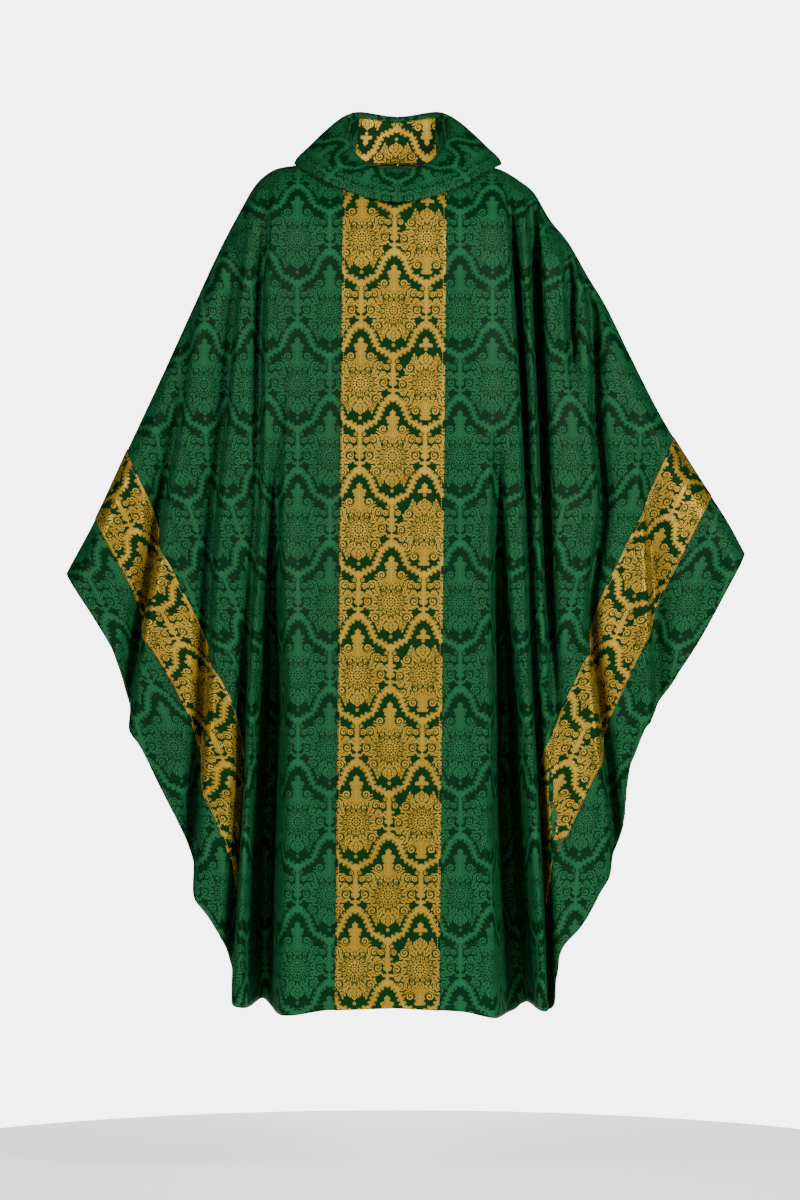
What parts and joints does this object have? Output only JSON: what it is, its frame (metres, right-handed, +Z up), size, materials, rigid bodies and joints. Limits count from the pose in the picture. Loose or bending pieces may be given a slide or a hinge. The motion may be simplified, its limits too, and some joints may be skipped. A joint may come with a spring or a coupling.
{
  "type": "chasuble",
  "caption": "Full liturgical chasuble in patterned damask, with a turned-down collar, a wide brocade centre strip front and back, and slanted brocade sleeve bands.",
  "frame": {"origin": "centre of the neck opening at the height of the neck seam's sides", "axes": "+Z up, +X to the viewer's right, the front of the garment faces -Y"},
  "size_m": [1.0602, 0.3172, 1.409],
  "materials": {
    "green_damask": "satin damask weave",
    "gold_brocade": "metallic thread brocade",
    "lining_cloth": "plain satin lining",
    "interlining_cloth": "matt stiff cloth",
    "seam_tape": "plain tape",
    "label_cloth": "plain woven label"
  },
  "bodies": {
    "root": {"back_collar_insert": "gold_brocade", "back_hem_facing": "green_damask", "back_left_band": "gold_brocade", "back_left_panel": "green_damask", "back_left_sleeve_facing": "green_damask", "back_lining": "lining_cloth", "back_orphrey": "gold_brocade", "back_right_band": "gold_brocade", "back_right_panel": "green_damask", "back_right_sleeve_facing": "green_damask", "front_hem_facing": "green_damask", "front_left_band": "gold_brocade", "front_left_panel": "green_damask", "front_left_sleeve_facing": "green_damask", "front_lining": "lining_cloth", "front_orphrey": "gold_brocade", "front_right_band": "gold_brocade", "front_right_panel": "green_damask", "front_right_sleeve_facing": "green_damask", "left_collar_facing": "green_damask", "left_collar_fall": "green_damask", "left_collar_interlining": "interlining_cloth", "left_neck_binding": "seam_tape", "left_shoulder_tape": "seam_tape", "neck_label": "label_cloth", "right_collar_facing": "green_damask", "right_collar_fall": "green_damask", "right_collar_interlining": "interlining_cloth", "right_neck_binding": "seam_tape", "right_shoulder_tape": "seam_tape"}
  },
  "joints": []
}
